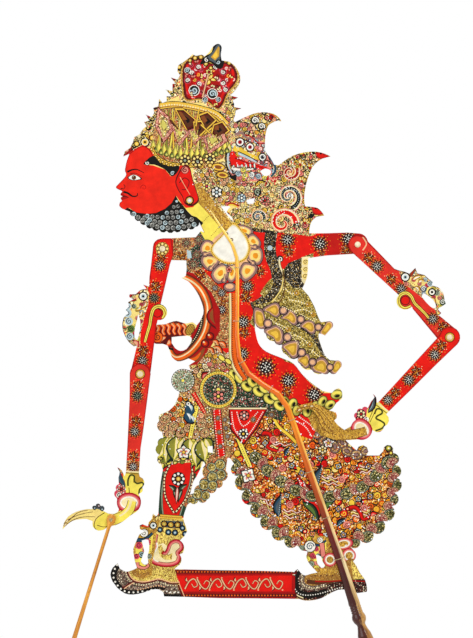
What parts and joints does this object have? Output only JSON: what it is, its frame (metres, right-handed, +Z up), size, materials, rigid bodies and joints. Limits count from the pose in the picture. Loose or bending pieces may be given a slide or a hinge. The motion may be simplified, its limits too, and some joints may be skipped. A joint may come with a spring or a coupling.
{
  "type": "leather shadow puppet",
  "caption": "Flat painted and gilded leather shadow puppet of a crowned standing figure, clamped in a split horn rod, with jointed arms and a hand rod.",
  "frame": {"origin": "centre of the flat tip of the main rod's handle", "axes": "+Z up along the standing figure, +X towards the figure's back, -Y towards the viewer of the painted front"},
  "size_m": [0.5086, 0.0211, 0.8817],
  "materials": {
    "gilded_hide": "painted and gilded",
    "painted_hide": "painted",
    "horn": "polished horn",
    "hand_rod_wood": "oiled",
    "bone": "turned bone",
    "waxed_thread": "waxed"
  },
  "bodies": {
    "puppet": {"body_hide": "gilded_hide", "main_rod": "horn", "front_shoulder_spacer": "bone", "front_shoulder_washer": "bone", "front_shoulder_stud": "bone", "rear_shoulder_spacer": "bone", "rear_shoulder_washer": "bone", "rear_shoulder_stud": "bone", "rod_tie_1": "waxed_thread", "rod_tie_2": "waxed_thread", "rod_tie_3": "waxed_thread", "rod_tie_4": "waxed_thread", "rod_tie_5": "waxed_thread", "rod_tie_6": "waxed_thread", "rod_tie_7": "waxed_thread", "rod_tie_8": "waxed_thread", "rod_tie_9": "waxed_thread"},
    "front_upper_arm_body": {"front_upper_arm": "painted_hide", "front_elbow_stud": "bone"},
    "front_forearm_body": {"front_forearm": "painted_hide", "hand_rod_cord": "waxed_thread"},
    "hand_rod_body": {"hand_rod": "hand_rod_wood"},
    "rear_upper_arm_body": {"rear_upper_arm": "painted_hide", "rear_elbow_stud": "bone"},
    "rear_forearm_body": {"rear_forearm": "painted_hide"}
  },
  "joints": [
    {"name": "front_shoulder", "type": "hinge", "parent": "puppet", "child": "front_upper_arm_body", "pos_m": [-0.29815, -0.003, 0.63489], "axis": [0, 1, 0], "range_deg": [-25, 130]},
    {"name": "front_elbow", "type": "hinge", "parent": "front_upper_arm_body", "child": "front_forearm_body", "pos_m": [-0.32465, -0.0049, 0.48489], "axis": [0, 1, 0], "range_deg": [-20, 140]},
    {"name": "hand_rod_swing", "type": "hinge", "parent": "front_forearm_body", "child": "hand_rod_body", "pos_m": [-0.35915, -0.0083, 0.31089], "axis": [0, 1, 0], "range_deg": [-60, 60]},
    {"name": "rear_shoulder", "type": "hinge", "parent": "puppet", "child": "rear_upper_arm_body", "pos_m": [-0.06415, -0.003, 0.63989], "axis": [0, 1, 0], "range_deg": [-100, 50]},
    {"name": "rear_elbow", "type": "hinge", "parent": "rear_upper_arm_body", "child": "rear_forearm_body", "pos_m": [0.04585, -0.0049, 0.52889], "axis": [0, 1, 0], "range_deg": [-100, 70]}
  ]
}
